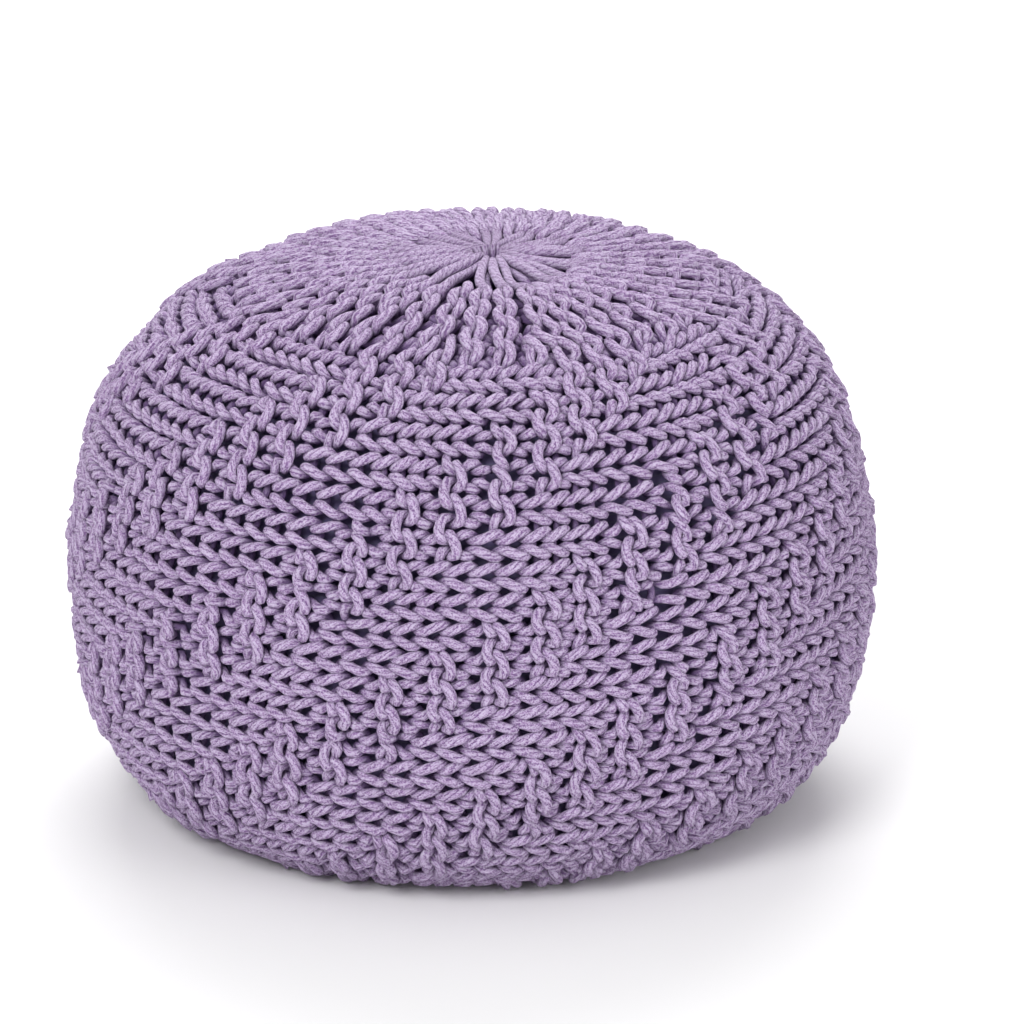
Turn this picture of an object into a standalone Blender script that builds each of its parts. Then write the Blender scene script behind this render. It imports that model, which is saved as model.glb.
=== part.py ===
"""Knitted pouf: a tube of chunky cotton knitting, drawn in at the top and the bottom over a round filled bag.

The knitting lies sideways. Its wales (columns of stitches) run round the pouf one above the other, and its
rows run from the top gather down to the bottom one. Every second row makes one garter ridge. On the side
each ridge is three wales tall and the next ridge on the right starts one wale higher, so bands of ridges
climb round it. Metres, +Z up, with the origin at the middle of the flat base.
"""

import math

import bmesh
import bpy
import numpy as np
from mathutils import Vector

# Driving dimensions of the pouf (metres). The crown is the profile's top before its dimple, and the
# finished pouf is 0.349 high.
OVERALL_RADIUS = 0.2509
CROWN_HEIGHT = 0.3503
WIDEST_HEIGHT = 0.124
BASE_RADIUS = 0.168
UPPER_POWER = 2.84
LOWER_POWER = 1.92
GATHER_SHIFT = 0.012
BASE_SHIFT = -0.003
DIMPLE_DEPTH = 0.006
DIMPLE_RADIUS = 0.050

# The knitting
RIDGES = 48
ROWS = 2 * RIDGES
BAND_WALES = 6
RIDGE_WALES = 3
BAND_START = 2
TOP_GARTER_WALES = 5
FRONT_RIDGE = -0.44
FRONT_CROWDING = 0.078
ROW_SLANT = 0.25
WALL = 0.013
EYE_RADIUS = 0.006
BAG_GAP = 0.0003

# Relief of the stitches over the middle surface (metres)
RIDGE_RISE = 0.0030
RIDGE_SADDLE = 0.0012
HOLLOW_DROP = 0.0026
CHAIN_RISE = 0.0012
CHAIN_GROOVE = 0.0015
GATHER_FOLD = 0.0008
FULL_RELIEF_RADIUS = 0.120
MIDDLE_RADIUS = OVERALL_RADIUS - RIDGE_RISE

# Distance of each wale from the top gather, along the surface: (wales in the run, first pitch, last pitch)
FIRST_WALE = 0.044
WALE_RUNS = (
    ("top gather", 5, 0.023, 0.026),
    ("shoulder", 5, 0.0245, 0.0205),
    ("side", 7, 0.0185, 0.0170),
    ("lower side", 7, 0.0180, 0.0205),
)
RELIEF_END = 0.500
SMOOTH_START = 0.545

INNER_COLUMNS = 48
INNER_RINGS = 9
PROFILE_STEPS = 1200
SLOPE_STEP = 0.002

# Plain rings beside the two eyes: distances from the top gather, and radii on the flat base
TOP_EYE_RINGS = (0.010, 0.020)
BASE_RINGS = (0.100, 0.030)
RIM_DROP = 0.001
INNER_EYE_DROP = 0.0005

# Finishes (linear colours)
LILAC = (0.40, 0.31, 0.47)
INDIGO = (0.03, 0.026, 0.055)
CLOTH_ROUGHNESS = 0.9


def wale_places():
    """Distances of the wales' middles from the top gather, worked out from the runs' pitches."""
    places = [FIRST_WALE]
    for _, count, first, last in WALE_RUNS:
        for step in range(count):
            pitch = first + (last - first) * step / max(count - 1, 1)
            places.append(places[-1] + pitch)
    return places


def meridian():
    """Distance from the top gather, radius and height of the middle surface, down to the base's middle."""
    quarter = np.linspace(0.0, math.pi / 2, PROFILE_STEPS)
    top_radius = MIDDLE_RADIUS * np.sin(quarter) ** (2 / UPPER_POWER)
    top_height = WIDEST_HEIGHT + (CROWN_HEIGHT - WIDEST_HEIGHT) * np.cos(quarter) ** (2 / UPPER_POWER)
    top_height -= DIMPLE_DEPTH * np.exp(-((top_radius / DIMPLE_RADIUS) ** 2))
    low_radius = BASE_RADIUS + (MIDDLE_RADIUS - BASE_RADIUS) * np.cos(quarter) ** (2 / LOWER_POWER)
    low_height = WIDEST_HEIGHT * (1 - np.sin(quarter) ** (2 / LOWER_POWER))
    radius = np.concatenate([top_radius, low_radius[1:], [0.0]])
    height = np.concatenate([top_height, low_height[1:], [0.0]])
    along = np.concatenate([[0.0], np.cumsum(np.hypot(np.diff(radius), np.diff(height)))])
    return along, radius, height


ALONG, RADIUS, PROFILE_HEIGHT = meridian()
WALES = wale_places()
BASE_EDGE = ALONG[-2]


def section(distance, inward=0.0):
    """Radius and height at a distance from the top gather, moved inward square to the surface."""
    radii = np.interp([distance - SLOPE_STEP, distance, distance + SLOPE_STEP], ALONG, RADIUS)
    heights = np.interp([distance - SLOPE_STEP, distance, distance + SLOPE_STEP], ALONG, PROFILE_HEIGHT)
    run = radii[2] - radii[0]
    drop = heights[0] - heights[2]
    length = math.hypot(run, drop)
    return radii[1] - inward * drop / length, heights[1] - inward * run / length


def sideways(radius, height):
    """How far the section at a height is pushed in X: the gather sits off the axis and the base leans."""
    rise = min(max((height - WIDEST_HEIGHT) / (CROWN_HEIGHT - WIDEST_HEIGHT), 0.0), 1.0)
    fall = min(max(1 - height / WIDEST_HEIGHT, 0.0), 1.0)
    return GATHER_SHIFT * rise**2 * (1 - radius / MIDDLE_RADIUS) + BASE_SHIFT * fall**2


def column_angle(column, columns, distance):
    """Direction of a row of knitting: 0 faces -Y, and rows are closest together there."""
    turn = 2 * math.pi * (column / columns + FRONT_RIDGE / RIDGES)
    slant = ROW_SLANT * (BASE_EDGE / 2 - distance)
    return turn - FRONT_CROWDING * math.sin(turn) + slant


def is_ridge(wale, ridge):
    """Whether the ridge shows on the outside at this wale."""
    return wale < TOP_GARTER_WALES or BAND_START <= (wale + ridge) % BAND_WALES < BAND_START + RIDGE_WALES


def relief(place, column):
    """How far the outside stands proud of the middle surface at half a wale's steps along a row."""
    wale, between = divmod(place, 2)
    ridge, hollow = divmod(column, 2)
    raised = is_ridge(wale, ridge) and (not between or is_ridge(wale + 1, ridge))
    if raised and hollow:
        return -HOLLOW_DROP
    if raised:
        return RIDGE_SADDLE if between else RIDGE_RISE
    return -CHAIN_GROOVE if between else CHAIN_RISE


def place_point(radius, height, angle):
    """A point of the pouf from its place in the section and its direction."""
    x = radius * math.sin(angle) + sideways(radius, height)
    return Vector((x, -radius * math.cos(angle), height))


def ring(mesh, distance, columns, outward):
    """One ring of points round the pouf; outward gives each column's offset from the middle surface."""
    points = []
    for column in range(columns):
        radius, height = section(distance, -outward(column))
        points.append(mesh.verts.new(place_point(radius, height, column_angle(column, columns, distance))))
    return points


def flat_ring(mesh, radius, height, columns, distance):
    """One level ring of points, for the base and the two eyes."""
    angles = [column_angle(column, columns, distance) for column in range(columns)]
    return [mesh.verts.new(place_point(radius, height, angle)) for angle in angles]


def skin(mesh, above, below):
    """Faces between two rings, where one may have twice the columns of the other. Above is nearer the top."""
    count = min(len(above), len(below))
    for i in range(count):
        j = (i + 1) % count
        if len(above) == len(below):
            mesh.faces.new((above[i], below[i], below[j]))
            mesh.faces.new((above[i], below[j], above[j]))
        elif len(above) > len(below):
            middle = above[2 * i + 1]
            mesh.faces.new((above[2 * i], below[i], middle))
            mesh.faces.new((middle, below[i], below[j]))
            mesh.faces.new((middle, below[j], above[2 * j]))
        else:
            middle = below[2 * i + 1]
            mesh.faces.new((above[i], below[2 * i], middle))
            mesh.faces.new((above[i], middle, above[j]))
            mesh.faces.new((above[j], middle, below[2 * j]))


def outside_rings(mesh):
    """Rings of the cover's outside, from the top eye to the bottom eye."""
    rings = []
    for distance in TOP_EYE_RINGS:
        rings.append(ring(mesh, distance, RIDGES, lambda column: 0.0))
    fold_at = (FIRST_WALE + TOP_EYE_RINGS[-1]) / 2
    rings.append(ring(mesh, fold_at, ROWS, lambda column: GATHER_FOLD * (1 - 2 * (column % 2))))
    for place in range(2 * len(WALES) - 1):
        wale = place // 2
        distance = WALES[wale] if place % 2 == 0 else (WALES[wale] + WALES[wale + 1]) / 2
        if distance > SMOOTH_START:
            break
        low_fade = min(1.0, max(0.0, (SMOOTH_START - distance) / (SMOOTH_START - RELIEF_END)))
        fade = low_fade * min(1.0, section(distance)[0] / FULL_RELIEF_RADIUS)
        rings.append(ring(mesh, distance, ROWS, lambda column: fade * relief(place, column)))
    rings.append(flat_ring(mesh, BASE_RADIUS, 0.0, RIDGES, BASE_EDGE))
    for radius in BASE_RINGS:
        rings.append(flat_ring(mesh, radius, 0.0, RIDGES, BASE_EDGE))
    rings.append(flat_ring(mesh, EYE_RADIUS, EYE_RADIUS / 2, RIDGES, BASE_EDGE))
    return rings


def inside_distances():
    """Places of the inner wall's rings along the middle surface."""
    first, last = FIRST_WALE, BASE_EDGE
    return [first + (last - first) * i / (INNER_RINGS - 1) for i in range(INNER_RINGS)]


def inside_rings(mesh, inward):
    """Rings of the cover's inner wall or of the bag just inside it, from the top down."""
    rings = []
    for distance in inside_distances():
        rings.append(ring(mesh, distance, INNER_COLUMNS, lambda column: -inward))
    return rings


def inner_eyes(mesh, inward, radius):
    """The small rings that end the inner wall or the bag at the top and at the base."""
    top = section(FIRST_WALE / 2, inward)[1] - INNER_EYE_DROP
    upper = flat_ring(mesh, radius, top, INNER_COLUMNS, FIRST_WALE)
    lower = flat_ring(mesh, radius, inward, INNER_COLUMNS, BASE_EDGE)
    return upper, lower


def material(name, colour):
    """A plain cloth finish."""
    made = bpy.data.materials.new(name)
    made.use_nodes = True
    shader = made.node_tree.nodes["Principled BSDF"]
    shader.inputs["Base Color"].default_value = (*colour, 1.0)
    shader.inputs["Roughness"].default_value = CLOTH_ROUGHNESS
    shader.inputs["Metallic"].default_value = 0.0
    return made


def finish_object(name, mesh, cloth):
    """Turn a bmesh into a named object with its material, shaded smooth."""
    bmesh.ops.recalc_face_normals(mesh, faces=mesh.faces)
    data = bpy.data.meshes.new(name)
    mesh.to_mesh(data)
    mesh.free()
    data.shade_smooth()
    data.materials.append(cloth)
    made = bpy.data.objects.new(name, data)
    bpy.context.scene.collection.objects.link(made)
    return made


def build_cover(cloth):
    """The knitted cover: a wall round the bag, open only at the two small eyes of its gathers."""
    mesh = bmesh.new()
    outer = outside_rings(mesh)
    inner = inside_rings(mesh, WALL)
    top_eye, low_eye = inner_eyes(mesh, WALL, EYE_RADIUS)
    mouth = section(TOP_EYE_RINGS[0])[1] - RIM_DROP
    rim = flat_ring(mesh, EYE_RADIUS, mouth, RIDGES, TOP_EYE_RINGS[0])
    for chain in ([rim, *outer, low_eye], [rim, top_eye, *inner, low_eye]):
        for above, below in zip(chain, chain[1:]):
            skin(mesh, above, below)
    return finish_object("knit_cover", mesh, cloth)


def build_bag(cloth):
    """The filled bag, a solid that fits the cover's inside with a small gap all round."""
    mesh = bmesh.new()
    inward = WALL + BAG_GAP
    inner = inside_rings(mesh, inward)
    top_ring, low_ring = inner_eyes(mesh, inward, EYE_RADIUS)
    chain = [top_ring, *inner, low_ring]
    for above, below in zip(chain, chain[1:]):
        skin(mesh, above, below)
    mesh.faces.new(top_ring)
    mesh.faces.new(low_ring[::-1])
    return finish_object("inner_bag", mesh, cloth)


def main():
    """Clear the scene and build both pieces."""
    for old in list(bpy.data.objects):
        bpy.data.objects.remove(old, do_unlink=True)
    build_cover(material("Lilac cotton knit", LILAC))
    build_bag(material("Indigo bag cloth", INDIGO))


main()
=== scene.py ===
"""Knitted pouf, dressed: every row of the cotton knitting as its own cord, over the filled cloth bag.

The rows run from the top gather down to the bottom one, and each carries one stitch for every wale, the columns
that lie round the pouf. A cord's way through its neighbours follows the stitch signs: a plain stitch shows its
two legs outside, a turned stitch shows its head and its feet, which make the garter ridges. The cords are then
settled, so that they lie on each other as soft cotton does.
"""

import logging
import math
from dataclasses import dataclass, field
from enum import Enum

import bmesh
import bpy
import numpy as np
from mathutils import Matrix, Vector


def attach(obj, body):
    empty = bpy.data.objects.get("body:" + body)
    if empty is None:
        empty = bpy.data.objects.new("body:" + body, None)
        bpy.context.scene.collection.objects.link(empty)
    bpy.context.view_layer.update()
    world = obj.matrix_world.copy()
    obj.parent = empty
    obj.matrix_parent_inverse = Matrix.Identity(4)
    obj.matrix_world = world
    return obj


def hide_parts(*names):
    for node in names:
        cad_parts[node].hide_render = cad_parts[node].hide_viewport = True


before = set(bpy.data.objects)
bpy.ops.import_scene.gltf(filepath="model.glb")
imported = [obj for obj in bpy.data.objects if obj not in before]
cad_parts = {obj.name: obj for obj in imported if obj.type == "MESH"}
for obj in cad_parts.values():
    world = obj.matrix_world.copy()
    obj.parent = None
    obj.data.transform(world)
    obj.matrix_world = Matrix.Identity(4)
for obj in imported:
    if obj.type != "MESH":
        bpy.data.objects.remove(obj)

LOG = logging.getLogger("knitted_pouf")
SEED = 41
TURN = 2.0 * math.pi
TINY = 1e-9
# Vertex attribute of how deep the cord lies in the knitting; the cord's finish paints shade from it.
DEPTH_NAME = "depth_share"

Colour = tuple[float, float, float, float]
Point = tuple[float, float, float]
Span = tuple[float, float]
Array = np.ndarray
Rows = dict[str, Array]


class Slot(Enum):
    """The record's material slots."""

    KNIT = "cotton_knit"
    BAG = "bag_cloth"


class Node(Enum):
    """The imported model's nodes."""

    COVER = "knit_cover"
    BAG = "inner_bag"


# ---- Form and stitch pattern -------------------------------------


@dataclass
class PoufForm:
    """Middle surface of the cover: a turned profile whose gather sits a little off the axis.

    Distances run along the profile from the top gather to the middle of the base.
    """

    middle_radius: float = 0.2479
    crown_height: float = 0.3475
    widest_height: float = 0.124
    base_radius: float = 0.168
    upper_power: float = 2.84
    lower_power: float = 1.92
    gather_shift: float = 0.012
    base_shift: float = -0.003
    dimple_depth: float = 0.0010
    dimple_radius: float = 0.033
    steps: int = 1200
    slope_step: float = 0.002
    along: Array = field(init=False)
    radii: Array = field(init=False)
    heights: Array = field(init=False)

    def __post_init__(self) -> None:
        """Work the profile out."""
        quarter = np.linspace(0.0, math.pi / 2, self.steps)
        top_radius = self.middle_radius * np.sin(quarter) ** (2 / self.upper_power)
        rise = self.crown_height - self.widest_height
        top_height = self.widest_height + rise * np.cos(quarter) ** (2 / self.upper_power)
        top_height -= self.dimple_depth * np.exp(-((top_radius / self.dimple_radius) ** 2))
        overhang = self.middle_radius - self.base_radius
        low_radius = self.base_radius + overhang * np.cos(quarter) ** (2 / self.lower_power)
        low_height = self.widest_height * (1 - np.sin(quarter) ** (2 / self.lower_power))
        self.radii = np.concatenate([top_radius, low_radius[1:], [0.0]])
        self.heights = np.concatenate([top_height, low_height[1:], [0.0]])
        steps = np.hypot(np.diff(self.radii), np.diff(self.heights))
        self.along = np.concatenate([[0.0], np.cumsum(steps)])

    @property
    def length(self) -> float:
        """Length of the profile from the top gather to the middle of the base."""
        return float(self.along[-1])

    @property
    def base_edge(self) -> float:
        """Distance at which the profile meets the flat base."""
        return float(self.along[-2])

    def radius(self, distance: Array) -> Array:
        """Radius of the middle surface at each distance."""
        return np.interp(distance, self.along, self.radii)

    def section(self, distance: Array) -> tuple[Array, Array, Array, Array]:
        """Place and slope of the profile.

        Args:
            distance: Distances from the top gather.

        Returns:
            Radius, height, and the outward direction's share along the radius and along the height.
        """
        before, after = distance - self.slope_step, distance + self.slope_step
        run = self.radius(after) - self.radius(before)
        drop = np.interp(before, self.along, self.heights) - np.interp(after, self.along, self.heights)
        length = np.maximum(np.hypot(run, drop), TINY)
        height = np.interp(distance, self.along, self.heights)
        return self.radius(distance), height, drop / length, run / length

    def place(self, distance: Array, angle: Array, offset: Array) -> Array:
        """Points in metres from their place on the surface.

        Args:
            distance: Distances from the top gather.
            angle: Directions, where 0 faces -Y and a growing angle turns towards +X.
            offset: Distances outward from the middle surface.

        Returns:
            The points, with the coordinates along the last axis.
        """
        radius, height, out_radius, out_height = self.section(distance)
        crown_rise = self.crown_height - self.widest_height
        rise = np.clip((height - self.widest_height) / crown_rise, 0.0, 1.0)
        fall = np.clip(1 - height / self.widest_height, 0.0, 1.0)
        lean = self.gather_shift * rise**2 * (1 - radius / self.middle_radius) + self.base_shift * fall**2
        reach = radius + offset * out_radius
        across, deep = reach * np.sin(angle) + lean, -reach * np.cos(angle)
        return np.stack([across, deep, height + offset * out_height], axis=-1)

    def outward(self, distance: Array, angle: Array) -> Array:
        """Outward directions of the middle surface.

        Args:
            distance: Distances from the top gather.
            angle: Directions round the pouf.

        Returns:
            Unit vectors, with the coordinates along the last axis.
        """
        _, _, out_radius, out_height = self.section(distance)
        return np.stack([out_radius * np.sin(angle), -out_radius * np.cos(angle), out_height], axis=-1)


@dataclass
class StitchPattern:
    """Where rows and wales lie, and which stitches are turned so that they show as ridges.

    A wale run holds its name, its number of wales, and its first and last pitch in metres. The gather's middle
    lies at top_end wales, and the base's middle base_end wales past the last wale's edge.
    """

    form: PoufForm
    ridges: int = 48
    band_wales: int = 6
    ridge_wales: int = 3
    band_start: int = 1
    top_garter_wales: int = 4
    base_garter_from: int = 26
    front_ridge: float = -0.44
    front_crowding: float = 0.078
    row_slant: float = 0.25
    first_wale: float = 0.0762
    back_pull: float = 0.036
    back_pull_end: float = 0.24
    back_pull_power: float = 1.5
    wale_runs: tuple[tuple[str, int, float, float], ...] = (
        ("top gather", 2, 0.0240, 0.0248),
        ("shoulder", 7, 0.0230, 0.0212),
        ("side", 7, 0.0185, 0.0170),
        ("lower side", 7, 0.0180, 0.0205),
        ("base gather", 7, 0.0200, 0.0240),
    )
    short_ridges: tuple[int, ...] = (2, 8, 14, 20, 27, 34, 41, 47)
    short_from: float = 2.5
    short_blend: Span = (0.128, 0.166)
    top_end: float = -2.4
    base_end: float = 1.7

    @property
    def rows(self) -> int:
        """Number of rows round the pouf."""
        return 2 * self.ridges

    def wale_places(self) -> Array:
        """Distances of the wales' middles from the top gather."""
        places = [self.first_wale]
        for _, count, first, last in self.wale_runs:
            for step in range(count):
                places.append(places[-1] + first + (last - first) * step / max(count - 1, 1))
        return np.array(places)

    def distance(self, wale: Array) -> Array:
        """Distance from the top gather.

        Args:
            wale: Places along a row, counted in wales.

        Returns:
            Distances in metres.
        """
        places = self.wale_places()
        half = (places[1] - places[0]) / 2
        end_half = (places[-1] - places[-2]) / 2
        count = len(places)
        edge = count - 0.5
        knots = np.concatenate([[self.top_end, -0.5], np.arange(count), [edge, edge + self.base_end]])
        values = np.concatenate([[0.0, places[0] - half], places, [places[-1] + end_half, self.form.length]])
        return np.interp(wale, knots, values)

    def is_short(self, row: Array) -> Array:
        """Whether a row belongs to a short ridge, which ends below the top gather."""
        ridge = ((row + 1) // 2) % self.ridges
        return np.isin(ridge, self.short_ridges)

    def shortened(self, row: Array) -> Array:
        """Close the rows up over the short ridges, as they lie once those have ended.

        Args:
            row: Places round the pouf, counted in rows.

        Returns:
            The places that they have there, counted in rows of the same width all round.
        """
        full = np.arange(-2, self.rows + 4) + 0.5
        kept = np.where(self.is_short(np.arange(-2, self.rows + 3) + 1), 0.0, 1.0)
        count = np.concatenate([[0.0], np.cumsum(kept)])
        scale = self.rows / (self.rows - 2 * len(self.short_ridges))
        front = np.interp(0.0, full, count)
        wrapped = np.mod(row, self.rows)
        return (np.interp(wrapped, full, count) - front) * scale + (row - wrapped)

    def angle(self, row: Array, distance: Array) -> Array:
        """Direction in which a place lies: 0 faces -Y, and rows are closest together there.

        Args:
            row: Places round the pouf, counted in rows.
            distance: Distances from the top gather.

        Returns:
            Directions in radians.
        """
        share = self.top_share(distance)
        place = row * (1 - share) + self.shortened(row) * share
        turn = TURN * ((place + 0.5) / self.rows + self.front_ridge / self.ridges)
        slant = self.row_slant * (self.form.base_edge / 2 - distance)
        return turn - self.front_crowding * np.sin(turn) + slant

    def drawn_back(self, distance: Array, angle: Array) -> Array:
        """How far the stitches behind the top gather are drawn towards it.

        Args:
            distance: Places along the surface from the gather.
            angle: Their directions, 0 at the front.

        Returns:
            Lengths to take off the places.
        """
        behind = ((1 - np.cos(angle)) / 2) ** self.back_pull_power
        near = np.clip((self.back_pull_end - distance) / (self.back_pull_end - self.first_wale), 0, 1)
        return self.back_pull * behind * near * np.clip(distance / self.first_wale, 0, 1)

    def top_share(self, distance: Array) -> Array:
        """How far the short ridges have ended.

        Args:
            distance: Distances from the top gather.

        Returns:
            Shares, 0 on the side and 1 near the top gather.
        """
        low, high = self.short_blend
        share = np.clip((high - distance) / (high - low), 0.0, 1.0)
        return share * share * (3 - 2 * share)

    def pitch(self, distance: Array) -> Array:
        """Distance between neighbouring rows at a distance from the top gather."""
        fewer = 2 * len(self.short_ridges) * self.top_share(distance)
        return TURN * self.form.radius(distance) / (self.rows - fewer)

    def signs(self) -> Array:
        """Stitch signs, 1 for plain and -1 for turned, by row and wale, with one wale more at both ends."""
        count = len(self.wale_places())
        wale = np.clip(np.arange(-1, count + 1), 0, count - 1)[None, :]
        row = np.arange(self.rows)[:, None]
        step = (wale + row // 2) % self.band_wales
        band = (step >= self.band_start) & (step < self.band_start + self.ridge_wales)
        ridge = band | (wale < self.top_garter_wales) | (wale >= self.base_garter_from)
        return np.where(ridge & (row % 2 == 0), -1, 1)


# ---- Shader maths ------------------------------------------------


class Value:
    """A shader socket that is used like a number; each operator adds its Math node."""

    def __init__(self, graph: "Graph", socket: bpy.types.NodeSocket) -> None:
        """Keep the graph and the socket."""
        self.graph = graph
        self.socket = socket

    def _math(self, operation: str, *terms: "Value | float") -> "Value":
        """Add one Math node.

        Args:
            operation: The node's operation.
            terms: Its inputs in order.

        Returns:
            The node's result.
        """
        return self.graph.add("ShaderNodeMath", {"operation": operation}, dict(enumerate(terms)))

    def __add__(self, other: "Value | float") -> "Value":
        """Sum."""
        return self._math("ADD", self, other)

    __radd__ = __add__

    def __mul__(self, other: "Value | float") -> "Value":
        """Product."""
        return self._math("MULTIPLY", self, other)

    __rmul__ = __mul__

    def __sub__(self, other: "Value | float") -> "Value":
        """Difference."""
        return self._math("SUBTRACT", self, other)

    def __rsub__(self, other: "Value | float") -> "Value":
        """Difference, with the number first."""
        return self._math("SUBTRACT", other, self)

    def cosine(self) -> "Value":
        """Cosine."""
        return self._math("COSINE", self)

    def sine(self) -> "Value":
        """Sine."""
        return self._math("SINE", self)

    def between(self, low: float, high: float) -> "Value":
        """Step smoothly from 0 to 1.

        Args:
            low: This value where the step starts.
            high: This value where it ends.

        Returns:
            The step.
        """
        settings = {"interpolation_type": "SMOOTHSTEP", "clamp": True}
        inputs = {"Value": self, "From Min": low, "From Max": high}
        return self.graph.add("ShaderNodeMapRange", settings, inputs)


Source = Value | float | Colour
Weights = tuple[tuple[str, float], ...]


class Graph:
    """A material's node tree, from an empty start to its output."""

    def __init__(self, name: str) -> None:
        """Start a material with a Principled shader.

        Args:
            name: The material's name.
        """
        self.material = bpy.data.materials.new(name)
        self.material.use_nodes = True
        self.tree = self.material.node_tree
        self.shader = self.tree.nodes["Principled BSDF"]

    def _join(self, target: bpy.types.NodeSocket, source: Source) -> None:
        """Link or set one input.

        Args:
            target: The input socket.
            source: A Value to link, or the constant to set.
        """
        if isinstance(source, Value):
            self.tree.links.new(source.socket, target)
        else:
            target.default_value = source

    def add(
        self, kind: str, settings: dict[str, object], inputs: dict[str | int, Source], output: str | int = 0
    ) -> Value:
        """Add one node.

        Args:
            kind: The node's type.
            settings: Properties to set first.
            inputs: Values or links, by the sockets' names or places.
            output: The wanted output's name or place.

        Returns:
            The wanted output.
        """
        node = self.tree.nodes.new(kind)
        for name, setting in settings.items():
            setattr(node, name, setting)
        for name, source in inputs.items():
            self._join(node.inputs[name], source)
        return Value(self, node.outputs[output])

    def noise(self, vector: Value, scale: float, detail: float = 2.0, roughness: float = 0.5) -> Value:
        """Noise of one size, around 0.5."""
        inputs = {"Vector": vector, "Scale": scale, "Detail": detail, "Roughness": roughness}
        return self.add("ShaderNodeTexNoise", {"noise_dimensions": "3D"}, inputs, "Fac")

    def combine(self, x: Source, y: Source, z: Source) -> Value:
        """A vector from three values."""
        return self.add("ShaderNodeCombineXYZ", {}, {0: x, 1: y, 2: z})

    def split(self, vector: Value) -> tuple[Value, Value, Value]:
        """The three parts of a vector."""
        first = self.add("ShaderNodeSeparateXYZ", {}, {0: vector})
        return tuple(Value(self, socket) for socket in first.socket.node.outputs)

    def mix(self, factor: Source, first: Source, second: Source) -> Value:
        """Colour between two colours; a Mix node's colours are its inputs 6 and 7 and its output 2."""
        return self.add("ShaderNodeMix", {"data_type": "RGBA"}, {0: factor, 6: first, 7: second}, 2)

    def coordinates(self, output: str) -> Value:
        """Object or UV coordinates."""
        return self.add("ShaderNodeTexCoord", {}, {}, output)

    def weighed(self, layers: dict[str, Value], weights: Weights) -> Value:
        """Sum of layers.

        Args:
            layers: Values by name.
            weights: Each wanted layer's name and weight.

        Returns:
            The weighed sum.
        """
        parts = [layers[name] * weight for name, weight in weights]
        total = parts[0]
        for part in parts[1:]:
            total = total + part
        return total

    def finish(
        self, constants: dict[str, float], colour: Value, roughness: float, height: Value, depth: float
    ) -> None:
        """Set the shader.

        Args:
            constants: Sockets that are the same all over.
            colour: The base colour.
            roughness: The roughness.
            height: The relief, 0 to 1.
            depth: The relief's real depth in metres.
        """
        for name, setting in constants.items():
            self.shader.inputs[name].default_value = setting
        self._join(self.shader.inputs["Base Color"], colour)
        self._join(self.shader.inputs["Roughness"], roughness)
        bump = self.add("ShaderNodeBump", {}, {"Strength": 1.0, "Distance": depth, "Height": height})
        self._join(self.shader.inputs["Normal"], bump)


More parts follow.
